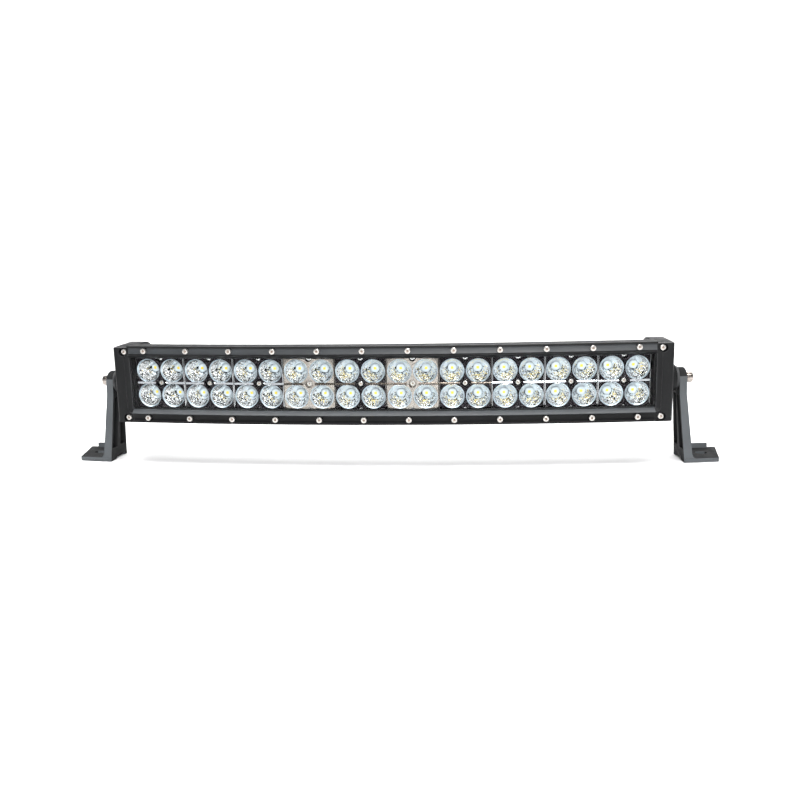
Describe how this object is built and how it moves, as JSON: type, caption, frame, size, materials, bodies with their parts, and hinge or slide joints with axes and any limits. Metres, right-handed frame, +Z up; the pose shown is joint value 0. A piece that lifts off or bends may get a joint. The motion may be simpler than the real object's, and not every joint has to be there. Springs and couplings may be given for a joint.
{
  "type": "led light bar",
  "caption": "Curved double-row vehicle light bar with finned black housing, chromed reflectors behind a clear lens, and two swivelling end brackets.",
  "frame": {"origin": "centre of the mounting surface under the bar's overall box", "axes": "+X along the bar to its right end seen from the front, +Y back from the light, +Z up"},
  "size_m": [0.6522, 0.0812, 0.1213],
  "materials": {
    "black_coat": "satin black powder coat on aluminium",
    "bracket_coat": "dark grey fine-texture powder coat on cast aluminium",
    "seal_rubber": "matte",
    "clear_lens": "clear, gloss",
    "reflector_chrome": "mirror, vacuum-plated on moulded plastic",
    "board": "white solder mask",
    "driver": "green board, potted",
    "stainless": "stainless, machined",
    "nylon": "black nylon"
  },
  "bodies": {
    "bar": {"housing": "black_coat", "strip_top": "black_coat", "strip_bottom": "black_coat", "end_frame_left": "black_coat", "end_frame_right": "black_coat", "end_cap_left": "black_coat", "end_cap_right": "black_coat", "lens_gasket": "seal_rubber", "end_gasket_left": "seal_rubber", "end_gasket_right": "seal_rubber", "lens": "clear_lens", "reflector_1": "reflector_chrome", "reflector_2": "reflector_chrome", "reflector_3": "reflector_chrome", "reflector_4": "reflector_chrome", "reflector_5": "reflector_chrome", "reflector_6": "reflector_chrome", "reflector_7": "reflector_chrome", "reflector_8": "reflector_chrome", "reflector_9": "reflector_chrome", "reflector_10": "reflector_chrome", "led_board_left": "board", "led_board_right": "board", "driver_board": "driver", "strip_screw_top_1": "stainless", "strip_screw_bottom_1": "stainless", "strip_screw_top_2": "stainless", "strip_screw_bottom_2": "stainless", "strip_screw_top_3": "stainless", "strip_screw_bottom_3": "stainless", "strip_screw_top_4": "stainless", "strip_screw_bottom_4": "stainless", "strip_screw_top_5": "stainless", "strip_screw_bottom_5": "stainless", "strip_screw_top_6": "stainless", "strip_screw_bottom_6": "stainless", "strip_screw_top_7": "stainless", "strip_screw_bottom_7": "stainless", "strip_screw_top_8": "stainless", "strip_screw_bottom_8": "stainless", "strip_screw_top_9": "stainless", "strip_screw_bottom_9": "stainless", "strip_screw_top_10": "stainless", "strip_screw_bottom_10": "stainless", "strip_screw_top_11": "stainless", "strip_screw_bottom_11": "stainless", "strip_screw_top_12": "stainless", "strip_screw_bottom_12": "stainless", "corner_screw_top_left": "stainless", "corner_screw_bottom_left": "stainless", "corner_screw_top_right": "stainless", "corner_screw_bottom_right": "stainless", "pivot_bolt_left": "stainless", "pivot_bolt_right": "stainless", "pivot_washer_left": "nylon", "pivot_washer_right": "nylon", "cable_gland": "nylon", "breather": "nylon"},
    "bracket_left_arm": {"bracket_left": "bracket_coat"},
    "bracket_right_arm": {"bracket_right": "bracket_coat"}
  },
  "joints": [
    {"name": "bracket_left_turn", "type": "hinge", "parent": "bar", "child": "bracket_left_arm", "pos_m": [-0.26959, 0.00277, 0.0814], "axis": [0.9934, -0.1145, 0], "continuous": true},
    {"name": "bracket_right_turn", "type": "hinge", "parent": "bar", "child": "bracket_right_arm", "pos_m": [0.26959, 0.00277, 0.0814], "axis": [0.9934, 0.1145, 0], "continuous": true}
  ]
}
